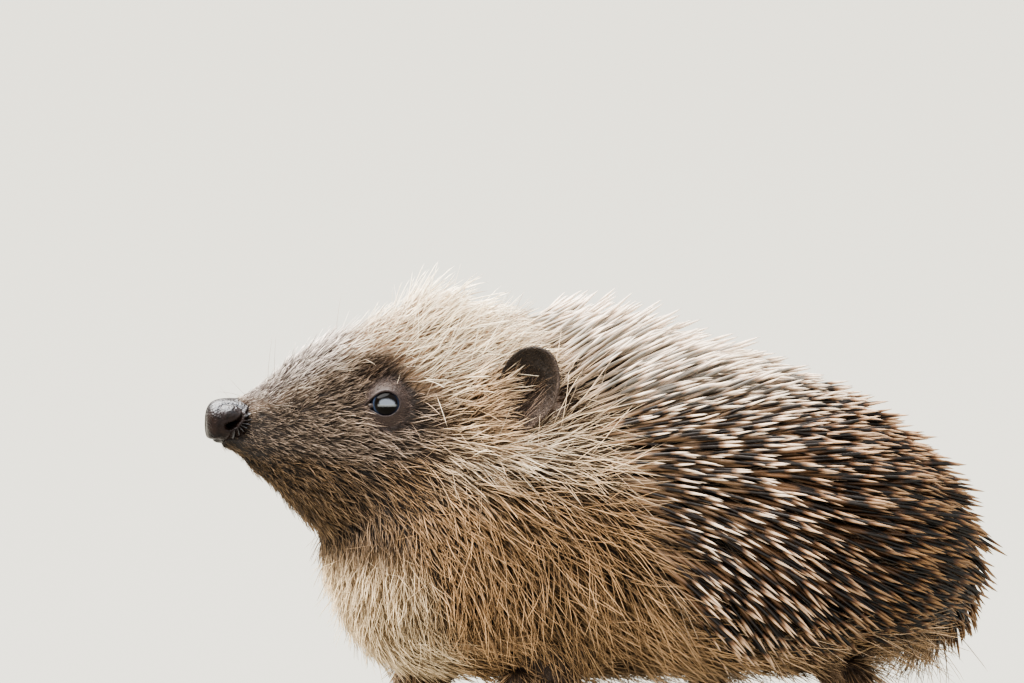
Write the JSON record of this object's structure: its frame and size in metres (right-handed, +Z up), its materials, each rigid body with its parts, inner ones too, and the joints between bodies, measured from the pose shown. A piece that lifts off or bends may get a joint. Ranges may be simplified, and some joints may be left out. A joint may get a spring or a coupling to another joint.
{
  "type": "hedgehog",
  "caption": "Life-size standing hedgehog with its snout raised and turned slightly aside, parted into head, jaw, neck, trunk, tail, ears, eyes and limbs.",
  "frame": {"origin": "on the floor under the middle of the animal's bounding box", "axes": "-X is the way the trunk faces, +X its rump, -Y its left side, +Z up"},
  "size_m": [0.1568, 0.1038, 0.0905],
  "materials": {
    "fur_pale": "coarse pale-tipped hair",
    "fur_dark": "short dark hair",
    "spines": "horny spines, cream tips over a dark band",
    "skin": "thinly haired skin",
    "nose_leather": "moist, finely grained",
    "eye_gloss": "wet gloss"
  },
  "bodies": {
    "root": {"head": "fur_pale", "neck": "fur_pale", "lower_jaw": "fur_dark", "foreleg_left": "fur_dark", "foreleg_right": "fur_dark", "hindleg_left": "fur_dark", "hindleg_right": "fur_dark", "trunk": "spines", "ear_left": "skin", "ear_right": "skin", "forefoot_left": "skin", "forefoot_right": "skin", "hindfoot_left": "skin", "hindfoot_right": "skin", "tail": "skin", "nose": "nose_leather", "eye_left": "eye_gloss", "eye_right": "eye_gloss"}
  },
  "joints": []
}
